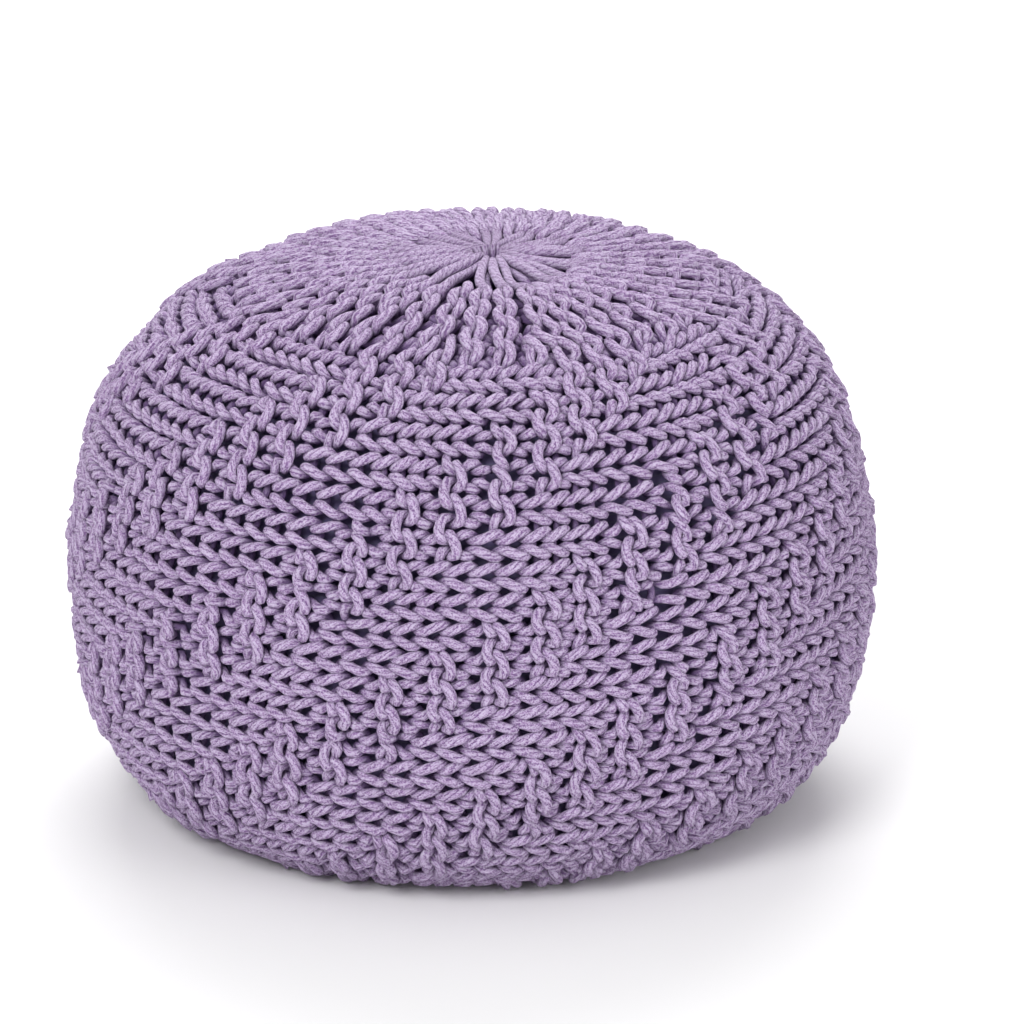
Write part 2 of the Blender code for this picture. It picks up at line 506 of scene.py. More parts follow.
@dataclass(frozen=True)
class CottonCord:
    """Soft matt cotton cord: twisted plies, loose fibres and tufts, with painted shade in each crease, in each
    ply groove and where the cord lies deep in the knitting.

    Lengths are in metres. A span holds the values at which a mask starts and is full.
    """

    # Painted shade: the darker lilac that the finish mixes into each crease and ply groove of the cord.
    deep: Colour = (0.120, 0.062, 0.175, 1.0)
    body: Colour = (0.420, 0.265, 0.512, 1.0)
    pale: Colour = (0.583, 0.502, 0.674, 1.0)
    # Painted shade for cord that lies deep in the knitting, where little light reaches: darker and more
    # saturated.
    painted_depth_shade: Colour = (0.158, 0.088, 0.244, 1.0)
    roughness: float = 0.95
    sheen: float = 0.10
    sheen_roughness: float = 0.5
    specular: float = 0.1
    relief: float = 0.0027
    cord_length: float = 2.0
    plies: float = 5.0
    twist_length: float = 0.034
    ply_waver: float = 9.0
    fibre_length: float = 0.0042
    fibres_round: float = 4.8
    fibre_roughness: float = 0.7
    speck_size: float = 0.00095
    speck_stretch: float = 0.55
    specks_round: float = 1.6
    speck_scale: float = 1.9
    speck_roughness: float = 0.65
    fine_detail: float = 3.0
    tuft_length: float = 0.006
    tuft_scale: float = 0.9
    wide_scale: float = 14.0
    tone_weights: Weights = (("ply", 0.10), ("fibres", 0.75), ("specks", 1.45), ("wide", 0.06))
    tone_floor: float = 0.68
    light_span: Span = (0.35, 0.67)
    # The crease and groove masks and their shares set the painted shade in each crease and ply groove, where the
    # relief is low.
    crease_weights: Weights = (("fibres", 0.38), ("specks", 0.54), ("ply", 0.08))
    crease_span: Span = (0.37, 0.53)
    crease_shade_share: float = 0.80
    groove_span: Span = (0.0, 0.2)
    groove_shade_share: float = 0.26
    # Span of the depth share over which the painted shade of the depths comes in, and its strength.
    painted_depth_shade_span: Span = (0.12, 0.68)
    painted_depth_shade_share: float = 0.92
    ply_rise: Span = (0.0, 0.4)
    relief_weights: Weights = (("fibres", 0.42), ("specks", 0.40), ("ply rise", 0.11))

    def _layers(self, graph: Graph) -> dict[str, Value]:
        """The cord's patterns, each from 0 to 1, on its UV map: U along it, V round it.

        Args:
            graph: The material's graph.

        Returns:
            Values by name.
        """
        along, around, _ = graph.split(graph.coordinates("UV"))
        angle = around * TURN
        turned = angle + along * (self.cord_length / self.twist_length * TURN)
        side, front = angle.cosine(), angle.sine()
        speck_place = graph.combine(
            side * self.specks_round,
            front * self.specks_round,
            along * (self.cord_length / self.speck_size * self.speck_stretch),
        )
        fibre_place = graph.combine(
            turned.cosine() * self.fibres_round,
            turned.sine() * self.fibres_round,
            along * (self.cord_length / self.fibre_length),
        )
        tuft_place = graph.combine(side, front, along * (self.cord_length / self.tuft_length))
        waver = (graph.noise(tuft_place, self.tuft_scale) - 0.5) * self.ply_waver
        ply = (turned * self.plies + waver).cosine() * 0.5 + 0.5
        return {
            "specks": graph.noise(speck_place, self.speck_scale, self.fine_detail, self.speck_roughness),
            "fibres": graph.noise(fibre_place, 1.0, self.fine_detail, self.fibre_roughness),
            "ply": ply,
            "ply rise": ply.between(*self.ply_rise),
            "wide": graph.noise(graph.coordinates("Object"), self.wide_scale),
        }

    def material(self) -> bpy.types.Material:
        """Build the finish, with painted shade in each crease and ply groove and where the cord lies deep in the
        knitting.
        """
        graph = Graph("Lilac cotton cord")
        layers = self._layers(graph)
        # The body-to-pale mix is mostly the cotton's own random mottle; its small ply share also makes the ply
        # crests a little paler, a painted highlight.
        light = (graph.weighed(layers, self.tone_weights) - self.tone_floor).between(*self.light_span)
        colour = graph.mix(light, self.body, self.pale)
        # Painted shade: each crease and ply groove, where the relief is low, is darkened towards the deep lilac.
        painted_crease_shade = 1 - graph.weighed(layers, self.crease_weights).between(*self.crease_span)
        painted_groove_shade = 1 - layers["ply"].between(*self.groove_span)
        colour = graph.mix(painted_crease_shade * self.crease_shade_share, colour, self.deep)
        colour = graph.mix(painted_groove_shade * self.groove_shade_share, colour, self.deep)
        # Painted shade: the deeper a vertex lies in the knitting, the more it is darkened towards the shade
        # colour.
        depth = graph.add("ShaderNodeAttribute", {"attribute_name": DEPTH_NAME}, {}, "Fac")
        colour = graph.mix(depth.between(*self.painted_depth_shade_span) * self.painted_depth_shade_share, colour, self.painted_depth_shade)
        constants = {
            "Sheen Weight": self.sheen,
            "Sheen Roughness": self.sheen_roughness,
            "Specular IOR Level": self.specular,
        }
        height = graph.weighed(layers, self.relief_weights)
        graph.finish(constants, colour, self.roughness, height, self.relief)
        return graph.material


@dataclass(frozen=True)
class BagCloth:
    """Plain woven cotton in dark indigo with fine paler stripes (lengths in metres); its colours are set well
    lighter than that, painted light for the shaded gaps between the cords.
    """

    # Painted light: both colours are lighter than the cloth's own dark indigo, so that the shaded gaps between
    # the cords read brighter.
    dark: Colour = (0.165, 0.130, 0.280, 1.0)
    stripe: Colour = (0.180, 0.165, 0.280, 1.0)
    roughness: float = 0.85
    specular: float = 0.2
    relief: float = 0.0004
    stripe_pitch: float = 0.0042
    stripe_span: Span = (0.55, 0.95)
    stripe_waver: float = 0.004
    waver_scale: float = 30.0
    thread_pitch: float = 0.0006
    slub_scale: float = 220.0
    slub_detail: float = 3.0
    stripe_share: float = 0.8
    slub_share: float = 0.2
    thread_rise: float = 0.2
    slub_rise: float = 0.5
    middle_rise: float = 0.25

    def material(self) -> bpy.types.Material:
        """Build the finish on object coordinates."""
        graph = Graph("Indigo bag cloth")
        place = graph.coordinates("Object")
        x, y, z = graph.split(place)
        waver = graph.noise(place, self.waver_scale) * self.stripe_waver
        stripes = ((z + waver) * (TURN / self.stripe_pitch)).sine().between(*self.stripe_span)
        warp = ((x + y) * (TURN / self.thread_pitch)).sine()
        weft = (z * (TURN / self.thread_pitch)).sine()
        slub = graph.noise(place, self.slub_scale, self.slub_detail)
        colour = graph.mix(stripes * self.stripe_share + slub * self.slub_share, self.dark, self.stripe)
        height = warp * weft * self.thread_rise + slub * self.slub_rise + self.middle_rise
        graph.finish({"Specular IOR Level": self.specular}, colour, self.roughness, height, self.relief)
        return graph.material


@dataclass(frozen=True)
class StudioFloor:
    """Plain pale floor (its relief in metres)."""

    pale: Colour = (0.79, 0.79, 0.79, 1.0)
    fair: Colour = (0.82, 0.82, 0.82, 1.0)
    grain_scale: float = 3.0
    roughness: float = 0.9
    relief: float = 0.00001

    def material(self) -> bpy.types.Material:
        """Build the finish on object coordinates."""
        graph = Graph("Pale studio floor")
        grain = graph.noise(graph.coordinates("Object"), self.grain_scale)
        graph.finish({}, graph.mix(grain, self.pale, self.fair), self.roughness, grain, self.relief)
        return graph.material


# ---- The knitted cover -------------------------------------------


@dataclass(frozen=True)
class CordSettler:
    """Presses touching cords apart, keeps them over the bag and the floor, and lets each cord stay smooth.

    Pairs of points nearer than reach (metres) are looked up every few rounds. Points of one row that are fewer
    than own_gap apart are no pair. Middle lines are pressed apart to firmness times the sum of the cords' radii.
    """

    rounds: int = 48
    pairs_every: int = 6
    reach: float = 0.0095
    firmness: float = 0.93
    step: float = 0.42
    smoothing: float = 0.40
    hold: float = 0.004
    floor_share: float = 0.9
    own_gap: int = 5

    def near_pairs(self, points: Array, row_length: int) -> tuple[Array, Array]:
        """Find the points of different stretches of cord that lie close together.

        Args:
            points: All points, row after row.
            row_length: Number of points in a row.

        Returns:
            The two points' numbers for every close pair.
        """
        cell = np.floor(points / self.reach).astype(np.int64)
        cell -= cell.min(axis=0) - 1
        size = cell.max(axis=0) + 2
        key = (cell[:, 0] * size[1] + cell[:, 1]) * size[2] + cell[:, 2]
        order = np.argsort(key, kind="stable")
        sorted_key = key[order]
        numbers = np.arange(len(points))
        firsts, seconds = [], []
        steps = [(x, y, z) for x in (-1, 0, 1) for y in (-1, 0, 1) for z in (-1, 0, 1)]
        for x, y, z in steps[len(steps) // 2 :]:
            wanted = key + (x * size[1] + y) * size[2] + z
            start = np.searchsorted(sorted_key, wanted, "left")
            count = np.searchsorted(sorted_key, wanted, "right") - start
            first = np.repeat(numbers, count)
            within = np.arange(count.sum()) - np.repeat(np.cumsum(count) - count, count)
            second = order[np.repeat(start, count) + within]
            close = ((points[first] - points[second]) ** 2).sum(axis=1) < self.reach**2
            same_row = first // row_length == second // row_length
            close &= ~(same_row & (np.abs(first - second) < self.own_gap))
            if (x, y, z) == (0, 0, 0):
                close &= first < second
            firsts.append(first[close])
            seconds.append(second[close])
        return np.concatenate(firsts), np.concatenate(seconds)

    def settle(self, rest: Array, radii: Array, outward: Array, limits: Array) -> Array:
        """Settle all rows.

        Args:
            rest: Points by row and place, as the stitch pattern gives them.
            radii: Cord radius at each point, below 0 where the row hasn't begun.
            outward: Outward directions at each point.
            limits: Lowest and highest move along the outward direction at each point.

        Returns:
            The settled points.
        """
        shape = rest.shape
        start = rest.reshape(-1, 3)
        thick = radii.reshape(-1)
        move = np.zeros_like(start)
        low, high = limits[..., 0].reshape(-1), limits[..., 1].reshape(-1)
        out = outward.reshape(-1, 3)
        first = second = np.zeros(0, dtype=np.int64)
        for step in range(self.rounds):
            points = start + move
            if step % self.pairs_every == 0:
                first, second = self.near_pairs(points, shape[1])
            gap = points[first] - points[second]
            length = np.sqrt((gap**2).sum(axis=1)) + TINY
            press = self.firmness * (thick[first] + thick[second]) - length
            touching = press > 0
            a, b = first[touching], second[touching]
            push = gap[touching] * (self.step * press[touching] / length[touching])[:, None]
            for axis in range(3):
                move[:, axis] += np.bincount(a, push[:, axis], len(start))
                move[:, axis] -= np.bincount(b, push[:, axis], len(start))
            rows = move.reshape(shape)
            middle = (rows[:, 2:] + rows[:, :-2]) / 2
            rows[:, 1:-1] += self.smoothing * (middle - rows[:, 1:-1])
            move = rows.reshape(-1, 3) * (1 - self.hold)
            along = (move * out).sum(axis=1)
            move += out * (np.clip(along, low, high) - along)[:, None]
            move[:, 2] += np.maximum(self.floor_share * thick - (start + move)[:, 2], 0.0)
        return (start + move).reshape(shape)


@dataclass(frozen=True)
class StitchShape:
    """Shape of one stitch, in shares of a wale, a row or a crossing's depth; head_reach is in metres.

    A crossing is a place at which the cord passes over or under another. The table gives their places in the
    first half of a stitch, and the second half mirrors them.
    """

    crossings: tuple[tuple[str, float], ...] = (
        ("edge of the stitch", 0.0),
        ("foot, past the loop before", 0.1),
        ("own leg", 0.1885),
        ("leg of the next row's loop", 0.3185),
        ("side of the head", 0.41),
        ("middle of the head", 0.5),
    )
    bump_boost: float = 1.6
    head_reach: float = 0.0083
    least_pitch: float = 0.002
    swing: float = 0.22
    top_swing: float = 0.29
    top_swing_wales: float = 3.0
    head_lean: float = 0.28
    foot_lean: float = 0.06
    tilt: float = 0.45


@dataclass(frozen=True)
class Looseness:
    """How uneven the knitting is, in shares of a stitch, a row or the cord's radius.

    The waves count how often a drift swings round the pouf. The surface's drift is in metres.
    """

    swing: float = 0.12
    wale: float = 0.04
    reach: float = 0.12
    depth: float = 0.22
    surface_drift: float = 0.0018
    surface_waves: int = 3
    row_drift: float = 0.18
    row_waves: int = 14
    cord_drift: float = 0.035
    cord_waves: int = 30
    cord_pace: float = 3.0
    waves_along: int = 4
    wales_along: float = 32.0


@dataclass(frozen=True)
class CordThickness:
    """Radius of the cord in metres, and its swelling and thinning in shares of it.

    It is fuller in the gathers, where the rows crowd, in loops that stand proud or are drawn up, and at the
    front and the back of the pouf, and it thins into the eye.
    """

    radius: float = 0.00268
    gather_radius: float = 0.00272
    crowded_pitch: float = 0.008
    crowding_run: float = 0.006
    lead_swell: float = 0.05
    proud_swell: float = 0.11
    proud_span: Span = (-1.0, 1.6)
    front_swell: float = 0.03
    eye_thinning: float = 0.46
    thinning_radius: float = 0.030
    thinning_run: float = 0.019


@dataclass(frozen=True)
class CordLay:
    """How the rows lie over the middle surface: metres, and a fold's start or end and its run in wales.

    Every second row is folded in where rows crowd, by fold_share of what two rows' pitch leaves of fold_length.
    """

    crossing: float = 0.0033
    surface_rise: float = 0.0020
    full_rise_radius: float = 0.120
    rise_end: float = 0.545
    rise_run: float = 0.045
    wall: float = 0.0125
    room: float = 0.003
    start_dip: float = 0.0065
    start_points: int = 6
    fold_length: float = 0.0220
    fold_share: float = 0.25
    top_fold_end: float = 7.0
    top_fold_run: float = 3.5
    base_fold_start: float = 24.0
    base_fold_run: float = 2.0


@dataclass(frozen=True)
class TopLoops:
    """The end loops drawn up into the top gather: metres, and shares of a row or of a crossing's depth.

    A lead is a row whose end loop is drawn up, and its partner is the row before it, which runs under it.
    """

    eye_radius: float = 0.0075
    partner_step: float = 0.001
    hole_radius: float = 0.0150
    hole_run: float = 0.007
    hole_power: float = 1.5
    hole_depth: float = 0.016
    bend_start: float = 0.60
    lead_reach: float = 0.35
    lead_bow: float = 0.45
    lead_sway: float = 0.30
    lead_depth: float = 0.95
    lead_rise: float = 0.3
    partner_reach: float = -0.60
    partner_depth: float = 0.1
    partner_radius: float = 0.072
    partner_run: float = 0.022
    search_steps: int = 200


@dataclass(frozen=True)
class BaseLoops:
    """The rows' ends in the bottom gather: their run in wales, and the radii at which they go down (metres)."""

    first: float = 0.12
    run: float = 0.95
    fourth_row: float = 0.012
    second_row: float = 0.026
    other_row: float = 0.038
    depth: float = 0.016


@dataclass
class KnitCover:
    """The knitted cover: 96 rows of cotton cord in six pieces, side by side round the pouf.

    The points are counted for each stitch, from hidden_from on for a stitch under the pouf, and for each end.
    """

    pattern: StitchPattern
    stitch: StitchShape = StitchShape()
    loose: Looseness = Looseness()
    cord: CordThickness = CordThickness()
    lay: CordLay = CordLay()
    top: TopLoops = TopLoops()
    base: BaseLoops = BaseLoops()
    settler: CordSettler = CordSettler()
    stitch_points: int = 20
    hidden_points: int = 12
    hidden_from: int = 24
    top_points: int = 12
    low_points: int = 7
    even_start: int = 3
    sectors: int = 6
    sides: int = 8
    # Depth below the outer surface at which the cord's painted shade is full.
    marked_depth: float = 0.013

    def _drift(self, rng: np.random.Generator, wale: Array, row: Array, waves: int) -> Array:
        """Smooth unevenness round the pouf and along the rows.

        Args:
            rng: Source of the seeded numbers.
            wale: Places along a row, in wales.
            row: Row of each path.
            waves: How many waves go round the pouf at most.

        Returns:
            Values of about unit size, by row and place.
        """
        total = np.zeros((len(row), len(wale)))
        for wave in range(1, waves + 1):
            for along in range(self.loose.waves_along):
                size, shift, tilt = rng.normal(), rng.uniform(0, TURN), rng.uniform(0, TURN)
                turn = TURN * wave * row[:, None] / self.pattern.rows + shift
                phase = along * math.pi * wale[None, :] / self.loose.wales_along + tilt
                total += size * np.sin(turn) * np.cos(phase)
        return total / np.std(total)

    def _depth_keys(self) -> Array:
        """Depth of each stitch's crossings, in shares of the crossing depth, by row, wale and key."""
        signs = self.pattern.signs()
        here, left, right = signs[:, 1:-1], signs[:, :-2], signs[:, 2:]
        after = np.roll(here, -1, axis=0)

        def shown(sign: Array) -> Array:
            """Depth of a head or a foot, which stands proud where it is outside."""
            return np.where(sign < 0, -sign * self.stitch.bump_boost, -sign)

        first, last = shown(left + here) / 2, shown(right + here) / 2
        foot, head = shown(here), shown(after)
        keys = [first, foot, here, after, head, head, head, after, here, foot, last]
        return np.stack(keys, axis=-1)

    def _stitch_depths(self, wale: int, turns: Array, keys: Array) -> Array:
        """Depth along one stitch of every row.

        Args:
            wale: The stitch's wale.
            turns: Places in the stitch, from 0 to 1.
            keys: Depths at the crossings.

        Returns:
            Depths by row and place, in shares of the crossing depth.
        """
        first = [place for _, place in self.stitch.crossings]
        stops = np.array(first + [1 - place for place in reversed(first[:-1])])
        number = np.clip(np.searchsorted(stops, turns, "right") - 1, 0, len(stops) - 2)
        share = (turns - stops[number]) / (stops[number + 1] - stops[number])
        share = (1 - np.cos(math.pi * share)) / 2
        return keys[:, wale, number] * (1 - share) + keys[:, wale, number + 1] * share

    def _stitches(self, rng: np.random.Generator) -> tuple[Array, Array, Array]:
        """Every stitch of every row, before it is laid on the pouf.

        Args:
            rng: Source of the seeded numbers.

        Returns:
            Place along the row in wales, reach across it from -1 to 1, and depth, by row and place.
        """
        keys = self._depth_keys()
        rows, count = keys.shape[:2]
        proud_foot = self.pattern.signs()[:, 1:-1] < 0
        proud_head = np.roll(proud_foot, -1, axis=0)
        chance = rng.normal(0, 1, (rows, count, 4))
        shape, loose = self.stitch, self.loose
        wales, reaches, depths = [], [], []
        for wale in range(count):
            points = self.hidden_points if wale >= self.hidden_from else self.stitch_points
            turns = np.arange(points) / points
            blend = (1 - np.cos(TURN * turns)) / 2
            near_top = min(max(shape.top_swing_wales + 1 - wale, 0.0), 1.0)
            size = shape.swing + (shape.top_swing - shape.swing) * near_top
            swing = size * (1 + loose.swing * chance[:, wale, :1]) * np.sin(2 * TURN * turns)
            head, foot = proud_head[:, wale, None] * blend, proud_foot[:, wale, None] * (1 - blend)
            lean = np.sin(2 * TURN * turns)
            wales.append(wale - 0.5 + turns + swing + loose.wale * chance[:, wale, 1:2] * blend)
            reach = -np.cos(TURN * turns) + lean * (shape.head_lean * head + shape.foot_lean * foot)
            reaches.append(reach + loose.reach * chance[:, wale, 2:3] * blend)
            depth = self._stitch_depths(wale, turns, keys) + shape.tilt * lean * (head + foot)
            depths.append(depth + loose.depth * chance[:, wale, 3:] * blend)
        last = np.full((rows, 1), count - 0.5)
        wales.append(last)
        reaches.append(np.full((rows, 1), -1.0))
        depths.append(keys[:, -1, -1:])
        return np.concatenate(wales, axis=1), np.concatenate(reaches, axis=1), np.concatenate(depths, axis=1)

    def _leads(self) -> Array:
        """Whether each row's end loop is drawn up into the top gather: two of every three full ridges'."""
        rows = np.arange(self.pattern.rows)
        full = (rows % 2 == 1) & ~self.pattern.is_short(rows)
        return full & (np.cumsum(full) % 3 > 0)

    def _calmed(self, line: Array, leads: Array) -> tuple[Array, Array]:
        """Reach and depth of the drawn-up loops and of their partners under them.

        Args:
            line: Places along a loop, from 0 in the eye to 1 where it joins its first stitch.
            leads: Whether each row is a lead.

        Returns:
            Reach and depth, by row and place.
        """
        top = self.top
        chance = np.random.default_rng(SEED + 1).normal(0, 1, (3, self.pattern.rows, 1))
        arch, wave = np.sin(math.pi * line), np.sin(TURN * line)
        bow = arch * chance[0] * top.lead_bow + wave * chance[1] * top.lead_sway
        rise = top.lead_rise * arch * chance[2]
        reach = np.where(leads[:, None], top.lead_reach + bow, top.partner_reach)
        return reach, np.where(leads[:, None], top.lead_depth + rise, top.partner_depth)

    def _add_top(self, wale: Array, reach: Array, depth: Array) -> Rows:
        """Lead the drawn-up loops into the top gather.

        Args:
            wale: Places along the rows in wales.
            reach: Reach across the rows.
            depth: Depths in shares of the crossing depth.

        Returns:
            The three with the ends added, how far each place goes down, and how far it is drawn up and calm.
        """
        pattern, top = self.pattern, self.top
        places = np.linspace(pattern.top_end, -0.5, top.search_steps)
        radii = pattern.form.radius(pattern.distance(places))
        leads = self._leads()
        drawn = (leads | np.roll(leads, -1))[:, None]
        stop = np.where(leads, top.eye_radius, top.eye_radius + top.partner_step)
        stop = np.interp(stop, radii, places)[:, None]
        share = np.linspace(0.0, 1.0, self.top_points + 1)[None, :-1]
        added = stop + (wale[:, :1] - stop) * share
        wale = np.concatenate([added, wale], axis=1)
        reach = np.concatenate([-np.ones_like(added), reach], axis=1)
        depth = np.concatenate([np.ones_like(added) * depth[:, :1], depth], axis=1)
        head = self.top_points + self.stitch_points // 2
        line = np.linspace(0.0, 1.0, head)[None, :]
        straight = stop + (wale[:, head : head + 1] - stop) * line
        wale[:, :head] = np.where(drawn, straight, wale[:, :head])
        radius = pattern.form.radius(pattern.distance(wale))
        bend = np.clip((line - top.bend_start) / (1 - top.bend_start), 0, 1) ** 2
        filling = np.clip((top.partner_radius - radius[:, :head]) / top.partner_run, 0, 1)
        ease = np.where(leads[:, None], 1 - bend, filling * filling * (3 - 2 * filling))
        calm_reach, calm_depth = self._calmed(line, leads)
        reach[:, :head] = np.where(drawn, 1 + (calm_reach - 1) * ease, reach[:, :head])
        joined = depth[:, head : head + 1] + (calm_depth - depth[:, head : head + 1]) * ease
        depth[:, :head] = np.where(drawn, joined, depth[:, :head])
        calm = np.zeros_like(wale)
        calm[:, :head] = np.where(drawn, ease, 0.0)
        inside = np.clip((top.hole_radius - radius) / top.hole_run, 0, 1) ** top.hole_power
        dive = -np.where(drawn, inside * top.hole_depth, 0.0)
        return {"wale": wale, "reach": reach, "depth": depth, "dive": dive, "calm": calm}

    def _add_base(self, laid: Rows) -> Rows:
        """Lead all rows into the bottom gather, some farther than others.

        Args:
            laid: The rows with their top ends.

        Returns:
            The rows with both ends.
        """
        pattern, base = self.pattern, self.base
        rows = np.arange(pattern.rows)[:, None]
        share = np.linspace(0.0, 1.0, self.low_points + 1)[None, :-1]
        added = laid["wale"][:, -1:].max() + (base.run * share + base.first)
        added = np.broadcast_to(added, (pattern.rows, self.low_points))
        radius = pattern.form.radius(pattern.distance(added))
        start = np.where(rows % 2 == 0, base.second_row, base.other_row)
        start = np.where(rows % 4 == 0, base.fourth_row, start)
        ones = np.ones_like(added)
        ends = {
            "wale": added,
            "reach": -ones,
            "depth": ones * laid["depth"][:, -1:],
            "dive": -np.clip(start - radius, 0, base.depth),
            "calm": 0 * ones,
        }
        return {name: np.concatenate([laid[name], end], axis=1) for name, end in ends.items()}

    def _starts(self, wale: Array) -> Array:
        """Place at which each row begins: the gather, the first loop, or lower for a short ridge.

        Args:
            wale: Places along the rows in wales.

        Returns:
            One place for every row.
        """
        pattern = self.pattern
        rows = np.arange(pattern.rows)
        leads = self._leads()
        drawn = leads | np.roll(leads, -1)
        even = self.top_points + self.stitch_points // 2 - self.even_start
        first = np.where(rows % 2 == 1, self.top_points, even)
        starts = np.where(drawn, 0, first)
        return np.where(pattern.is_short(rows), np.argmax(wale > pattern.short_from, axis=1), starts)

    def _thickness(self, distance: Array, angle: Array, laid: Rows, drift: Array) -> Array:
        """The cord's radius.

        Args:
            distance: Places along the surface from the top gather.
            angle: Their directions round the pouf.
            laid: The rows' depth and calm.
            drift: Unevenness of about unit size.

        Returns:
            Radii in metres, by row and place.
        """
        cord, pattern = self.cord, self.pattern
        wide = np.clip((pattern.pitch(distance) - cord.crowded_pitch) / cord.crowding_run, 0.0, 1.0)
        thinned = np.clip((cord.thinning_radius - pattern.form.radius(distance)) / cord.thinning_run, 0, 1)
        thick = cord.gather_radius + (cord.radius - cord.gather_radius) * wide
        thick = thick * (1 - cord.eye_thinning * thinned)
        thick = thick * (1 + self.loose.cord_drift * drift)
        thick = thick * (1 + cord.proud_swell * np.clip(laid["depth"], *cord.proud_span))
        return thick * (1 + cord.lead_swell * laid["calm"]) * (1 + cord.front_swell * np.cos(2 * angle))

    def _fold(self, wale: Array, pitch: Array, calm: Array) -> Array:
        """How far every second row is folded in where the rows crowd towards a gather.

        Args:
            wale: Places along the rows in wales.
            pitch: Distance between neighbouring rows.
            calm: How far each place is drawn up.

        Returns:
            Half the fold's depth in metres, by row and place.
        """
        lay = self.lay
        fold = lay.fold_share * np.sqrt(np.maximum(lay.fold_length**2 - (2 * pitch) ** 2, 0.0))
        top = np.clip((lay.top_fold_end - wale) / lay.top_fold_run, 0, 1)
        base = np.clip((wale - lay.base_fold_start) / lay.base_fold_run, 0, 1)
        return fold * (top + base) * (1 - calm)

    def row_paths(self) -> Rows:
        """The settled middle line of every row.

        Returns:
            By row and place the points, the cord's radii, the outward directions and the heights over the
            middle surface, and the place at which each row begins.
        """
        rng = np.random.default_rng(SEED)
        pattern, form, lay, loose = self.pattern, self.pattern.form, self.lay, self.loose
        rows = np.arange(pattern.rows)
        laid = self._add_base(self._add_top(*self._stitches(rng)))
        wale, reach = laid["wale"], laid["reach"]
        along = wale.mean(axis=0)
        drift = self._drift(rng, along, rows, loose.surface_waves)
        distance = pattern.distance(wale) + loose.surface_drift * drift
        distance = distance - pattern.drawn_back(distance, pattern.angle(rows[:, None] + 0 * wale, distance))
        pitch = pattern.pitch(distance)
        wide = np.maximum(pitch, self.stitch.least_pitch)
        half = 0.5 + 0.5 * np.minimum(self.stitch.head_reach / wide, 1.0)
        drift = self._drift(rng, along, rows, loose.row_waves)
        angle = pattern.angle(rows[:, None] + half * reach + loose.row_drift * drift, distance)
        drift = self._drift(rng, along * loose.cord_pace, rows, loose.cord_waves)
        thick = self._thickness(distance, angle, laid, drift)
        fold = self._fold(wale, pitch, laid["calm"])
        fade = np.clip((lay.rise_end - distance) / lay.rise_run, 0, 1)
        outer = lay.surface_rise * np.minimum(1.0, form.radius(distance) / lay.full_rise_radius) * fade
        offset = outer - thick - lay.crossing - fold
        nominal = rows[:, None] + 0.5 * reach
        offset = offset + fold * np.cos(math.pi * (nominal + 0.5)) + lay.crossing * laid["depth"] + laid["dive"]
        starts = self._starts(wale)
        fresh = np.arange(wale.shape[1])[None, :] - starts[:, None]
        tucked = lay.start_dip * np.clip(1 - fresh / lay.start_points, 0, 1)
        offset = offset - np.where(starts[:, None] > 0, tucked, 0.0)
        rest = form.place(distance, angle, offset)
        outward = form.outward(distance, angle)
        lowest = np.minimum(-lay.wall - 2 * fold + thick - offset, 0.0)
        highest = np.maximum(outer + lay.room - thick - offset, 0.0)
        limits = np.stack([lowest, highest], axis=-1)
        points = self.settler.settle(rest, np.where(fresh < 0, -1.0, thick), outward, limits)
        height = offset - outer + ((points - rest) * outward).sum(axis=-1)
        points[..., 2] = np.maximum(points[..., 2], thick)
        return {"points": points, "radii": thick, "outward": outward, "height": height, "starts": starts}

    def build(self, finish: bpy.types.Material) -> list[bpy.types.Object]:
        """Make the six pieces.

        Args:
            finish: The cord's material.

        Returns:
            The pieces.
        """
        paths = self.row_paths()
        starts = paths.pop("starts")
        share = self.pattern.rows // self.sectors
        made = []
        for sector in range(self.sectors):
            rows = range(sector * share, (sector + 1) * share)
            lines = {row: {name: part[row, starts[row] :] for name, part in paths.items()} for row in rows}
            made.append(self._sector(f"knit_rows_{sector + 1}", lines, finish))
        return made

    def _sector(self, name: str, lines: dict[int, Rows], finish: bpy.types.Material) -> bpy.types.Object:
        """Make one piece: its rows as bevelled curves, turned into one mesh.

        Args:
            name: The piece's name.
            lines: The paths of each of its rows.
            finish: The cord's material.

        Returns:
            The piece.
        """
        curve = bpy.data.curves.new(name + "_lines", "CURVE")
        curve.dimensions = "3D"
        curve.bevel_depth = self.cord.radius
        curve.bevel_resolution = self.sides // 2 - 2
        curve.use_fill_caps = True
        for line in lines.values():
            count = len(line["points"])
            spline = curve.splines.new("POLY")
            spline.points.add(count - 1)
            placed = np.concatenate([line["points"], np.ones((count, 1))], axis=1)
            spline.points.foreach_set("co", placed.reshape(-1))
            spline.points.foreach_set("radius", line["radii"] / self.cord.radius)
            spline.use_smooth = True
        drawn = bpy.data.objects.new(name + "_lines", curve)
        bpy.context.scene.collection.objects.link(drawn)
        graph = bpy.context.evaluated_depsgraph_get()
        data = bpy.data.meshes.new_from_object(
            drawn.evaluated_get(graph), preserve_all_data_layers=True, depsgraph=graph
        )
        bpy.data.objects.remove(drawn)
        bpy.data.curves.remove(curve)
        data.name = name
        self._mark_depth(data, lines)
        data.materials.clear()
        data.materials.append(finish)
        data.shade_smooth()
        piece = bpy.data.objects.new(name, data)
        bpy.context.scene.collection.objects.link(piece)
        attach(piece, "root")
        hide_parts(Node.COVER.value)
        LOG.info("%s: rows %d to %d, %d faces", name, min(lines), max(lines), len(data.polygons))
        return piece

